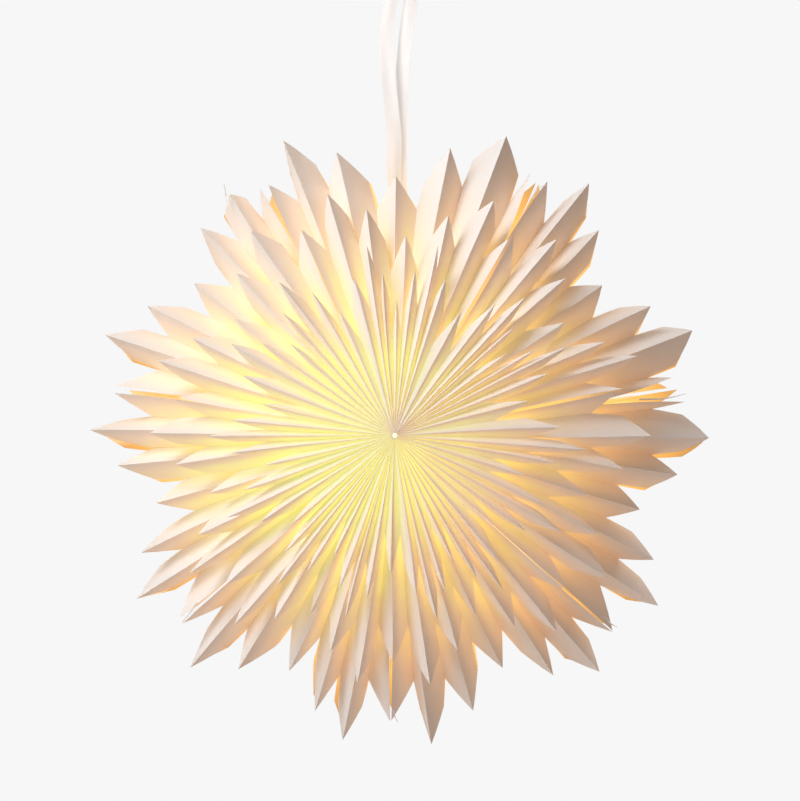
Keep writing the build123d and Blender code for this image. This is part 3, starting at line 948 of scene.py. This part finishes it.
quarter = [radians(6 * k) for k in range(1, 16)]
dome_profile = [(14.0, 70.0), (16.0, 70.0), (16.0, 72.2), (15.6, 72.5), (15.6, 73.3)]
dome_profile += [(16.0, 73.6), (16.0, 78.5)]
dome_profile += [(7.5 + 8.5 * cos(turn), 78.5 + 11.5 * sin(turn)) for turn in quarter]
dome_profile += [(5.5 + 8.5 * cos(turn), 77 + 11 * sin(turn)) for turn in reversed(quarter)]
dome_profile += [(14.0, 77.0)]
turned_piece("lamp_holder_dome", "star", "holder_plastic", holder_plastic, dome_profile)


def flutes(radius, depth, number):
    """Hollows round the outside of a grip, deepest on its outermost wall."""

    def shape(r, height, turn):
        return -depth * (0.5 + 0.5 * cos(number * turn)) if r > radius - 0.2 else 0

    return shape


nut_profile = [(3.2, 90.0), (6.8, 90.0), (7.5, 90.6), (7.5, 96.4), (6.8, 97.0), (5.9, 97.0)]
nut_profile += [(5.5, 97.4), (5.5, 98.6), (5.2, 98.9), (5.2, 99.5), (5.5, 99.8), (5.5, 103.2)]
nut_profile += [(4.8, 104.0), (3.7, 104.0), (3.2, 103.4)]
turned_piece(
    "cord_inlet", "star", "holder_plastic", holder_plastic, nut_profile,
    sides=96, shape=flutes(7.5, 0.5, 12),
)

grip_profile = [(14.3, 56.1), (14.7, 55.7), (20.5, 55.7), (21.3, 56.5), (21.3, 62.9)]
grip_profile += [(20.5, 63.7), (14.7, 63.7), (14.3, 63.3)]
turned_piece(
    "shade_ring", "holder_ring", "holder_plastic", holder_plastic, grip_profile,
    sides=192, shape=flutes(21.3, 0.7, 32),
)

# ---------------------------------------------------------------- holder contacts
# A rolled brass shell with the lamp's thread hangs in the holder, and a stamped brass spring
# disc above it meets the lamp's tip.
shell_inside = 7.15
shell_outside = 7.65
shell_foot = 42
shell_top = 66
brass = grainy(
    "rolled brass", (0.66, 0.46, 0.20), (0.83, 0.64, 0.33), 380, 0.00003,
    Metallic=1.0, Roughness=0.28,
)
inner_thread = thread(shell_inside, 0.25, shell_foot, 64.5)
outer_thread = thread(shell_outside, 0.25, shell_foot, 64.5)
shell_profile = wall(shell_inside, shell_top, shell_foot, wall_step)
shell_profile += wall(shell_outside, shell_foot, shell_top, wall_step)
turned_piece(
    "contact_shell", "star", "contact_brass", brass, shell_profile,
    shape=lambda r, height, turn: inner_thread(r, height, turn) + outer_thread(r, height, turn),
)
spring_profile = [(0, 65.0), (2.2, 65.0), (2.8, 65.35), (4.4, 65.35), (4.8, 65.1), (5.9, 65.1)]
spring_profile += [(6.15, 65.35), (6.15, 65.8), (5.9, 66.0), (0, 66.0)]
turned_piece("centre_contact", "star", "contact_brass", brass, spring_profile, closed=False)

# ---------------------------------------------------------------- lamp
# A small clear globe lamp with a screw cap of rolled bright metal, a black glass insulator and
# a solder tip. Inside stand a pressed glass stem and four lit strips with a yellow coat.
cap_foot = 40.7
cap_radius = 6.9
globe_radius = 22.5
globe_level = -4.0
neck_radius = 7.6
neck_level = 26
globe_wall = 0.7
strip_ring = 5.5  # how far the lit strips stand from the axis
work = bmesh.new()
cap_profile = [(6.2, cap_foot), (6.7, cap_foot)] + wall(cap_radius, 41.1, 61.2, wall_step)
cap_profile += [(6.5, 61.8), (5.6, 62.3), (5.2, 62.3), (6.1, 61.5), (6.2, 60.8)]
turned(work, cap_profile, shape=thread(cap_radius, -0.45, 44, 61))
solder_tip = [(0, 62.6), (2.2, 62.6), (2.4, 63.0), (2.3, 63.9), (1.6, 64.5), (0, 64.7)]
turned(work, solder_tip, closed=False)
lamp_cap = new_piece("lamp_cap", work, "lamp", "lamp_cap_metal", "lamp_cap")
cap_metal = grainy(
    "rolled bright metal", (0.66, 0.66, 0.66), (0.82, 0.82, 0.81), 520, 0.00003,
    Metallic=1.0, Roughness=0.25,
)
lamp_cap.data.materials.append(cap_metal)
work = bmesh.new()
turned(work, [(0, 61.0), (5.9, 61.0), (5.5, 62.1), (2.9, 62.7), (0, 62.7)], closed=False)
cap_insulator = new_piece("lamp_cap_insulator", work, "lamp", "lamp_cap_metal")
black_glass = grainy(
    "black cap glass", (0.015, 0.014, 0.016), (0.05, 0.045, 0.05), 450, 0.00004, Roughness=0.22
)
cap_insulator.data.materials.append(black_glass)

shoulder_turn = 52  # degrees up the round globe to where its neck begins
shoulder_steps = 18
neck_steps = 14
globe_outside = []
for k in range(-30, shoulder_steps):
    turn = radians(shoulder_turn * k / shoulder_steps if k > 0 else 3 * k)
    globe_outside.append((globe_radius * cos(turn), globe_level + globe_radius * sin(turn)))
join_radius, join_level = globe_outside[-1]
for k in range(1, neck_steps + 1):
    share = k / neck_steps
    ease = share * (2 - share)
    radius = join_radius + (neck_radius - join_radius) * ease
    globe_outside.append((radius, join_level + (neck_level - join_level) * share))
globe_outside += [(neck_radius, 34.0), (neck_radius, cap_foot)]
globe_inside = [
    (max(r - globe_wall, 0), h + (globe_wall if r < 4 else 0)) for r, h in globe_outside
]
bulb_glass, glass_shader = new_finish(
    "warm lit bulb glass", Roughness=0.03, IOR=1.5, Transmission_Weight=0.85,
    Emission_Strength=0.21,
)
haze = noise(bulb_glass, spot_on(bulb_glass), 90.0, 3.0)
for socket, low, high in (
    ("Base Color", (0.96, 0.93, 0.86), (1.0, 0.98, 0.94)),
    ("Emission Color", (1.0, 0.86, 0.64), (1.0, 0.92, 0.76)),
):
    tint(bulb_glass, glass_shader, socket, haze, (0.3, low), (0.7, high))
globe_profile = globe_outside + globe_inside[::-1]
turned_piece("lamp_globe", "lamp", "lamp_glass", bulb_glass, globe_profile, closed=False)

stem_glass = grainy(
    "pressed stem glass", (0.86, 0.88, 0.87), (0.95, 0.96, 0.95), 240, 0.00005,
    Roughness=0.08, IOR=1.5, Transmission_Weight=0.9,
)
stem_profile = [(0, cap_foot), (6.4, cap_foot), (5.2, 38.6), (3.8, 37.2), (3.0, 35.4)]
stem_profile += [(3.0, 28.4), (3.5, 27.2), (4.6, 26.7), (6.2, 26.7), (6.4, 26.5), (6.4, 26.1)]
stem_profile += [(0, 26.1)]
turned_piece(
    "lamp_stem", "lamp", "lamp_glass", stem_glass, stem_profile, sides=48, closed=False
)

work = bmesh.new()
strip_heights = (2.0, 2.3, 3.0, 14.0, 24.8, 25.6, 26.1)
strip_radii = (0.35, 0.7, 0.9, 0.9, 0.9, 0.5, 0.35)
for k in range(4):
    turn = pi / 2 * k
    foot = star_centre / mm + Vector((strip_ring * cos(turn), strip_ring * sin(turn), 0))
    strip_line = [foot + Vector((0, 0, height)) for height in strip_heights]
    tube(work, strip_line, strip_radii, depthways, sides=14)
lamp_filaments = new_piece("lamp_filaments", work, "lamp", "lamp_filament", "lamp_filaments")
strip_coat, strip_shader = new_finish("lit yellow strips", Roughness=0.5, Emission_Strength=4.0)
chips = stripes(strip_coat, spot_on(strip_coat), 130.0, "Z")
for socket, low, high in (
    ("Base Color", (0.90, 0.62, 0.18), (1.0, 0.80, 0.38)),
    ("Emission Color", (1.0, 0.62, 0.25), (1.0, 0.80, 0.45)),
):
    tint(strip_coat, strip_shader, socket, chips, (0.2, low), (0.8, high))
lamp_filaments.data.materials.append(strip_coat)

# ---------------------------------------------------------------- floor, light and background
# A pale studio floor well under the hanging star. One large soft key light stands at the upper
# left in front of it, a wider fill at the lower left, and a third light behind it.
floor_level = -1.72
floor_radius = 4.0
floor_work = bmesh.new()
bmesh.ops.create_circle(floor_work, cap_ends=True, segments=96, radius=floor_radius)
floor_mesh = bpy.data.meshes.new("floor")
floor_work.to_mesh(floor_mesh)
floor_work.free()
floor = bpy.data.objects.new("floor", floor_mesh)
floor.location = (0, 0, floor_level)
bpy.context.scene.collection.objects.link(floor)
floor_finish, floor_shader = new_finish("pale floor", Roughness=0.9)
floor_shader.inputs["Base Color"].default_value = (0.86, 0.86, 0.86, 1)
floor_seen = add_node(floor_finish, "ShaderNodeLightPath").outputs["Is Camera Ray"]
floor_lift = math_step(floor_finish, "MULTIPLY", floor_seen, 0.56)
floor_light = add_node(floor_finish, "ShaderNodeEmission", [("Strength", floor_lift)])
floor_parts = [(0, floor_shader.outputs[0]), (1, floor_light.outputs[0])]
floor_sum = add_node(floor_finish, "ShaderNodeAddShader", floor_parts)
floor_end = floor_finish.node_tree.nodes["Material Output"]
join(floor_finish, floor_sum.outputs[0], floor_end, "Surface")
floor_mesh.materials.append(floor_finish)

world = bpy.data.worlds.new("studio")
bpy.context.scene.world = world
world.use_nodes = True
surround = world.node_tree.nodes["Background"]
surround.inputs["Color"].default_value = (1.0, 0.985, 0.97, 1)
surround.inputs["Strength"].default_value = 0.18
# the background is seen paler than it lights, by the camera and through glass or in a mirror
seen = add_node(world, "ShaderNodeBackground", [("Color", (0.93, 0.93, 0.93, 1))])
rays = add_node(world, "ShaderNodeLightPath").outputs
direct = math_step(world, "MAXIMUM", rays["Is Camera Ray"], rays["Is Glossy Ray"])
either = math_step(world, "MAXIMUM", direct, rays["Is Transmission Ray"])
parts = [(0, either), (1, surround.outputs[0]), (2, seen.outputs[0])]
mixed = add_node(world, "ShaderNodeMixShader", parts)
join(world, mixed.outputs[0], world.node_tree.nodes["World Output"], "Surface")

for name, side, distance, size, power in (
    ("key", key_side, 1.5, 0.68, 12.8),
    ("fill", fill_side, 2.0, 1.4, 15.0),
    ("back", Vector((0.45, 0.72, 0.52)).normalized(), 3.0, 1.6, 40.0),
):
    light = bpy.data.lights.new(name, "AREA")
    light.energy = power
    light.size = size
    stand = bpy.data.objects.new(name, light)
    stand.location = star_centre + side * distance
    stand.rotation_euler = (-side).to_track_quat("-Z", "Y").to_euler()
    stand.visible_camera = False
    bpy.context.scene.collection.objects.link(stand)

bpy.context.scene.view_settings.view_transform = "Standard"
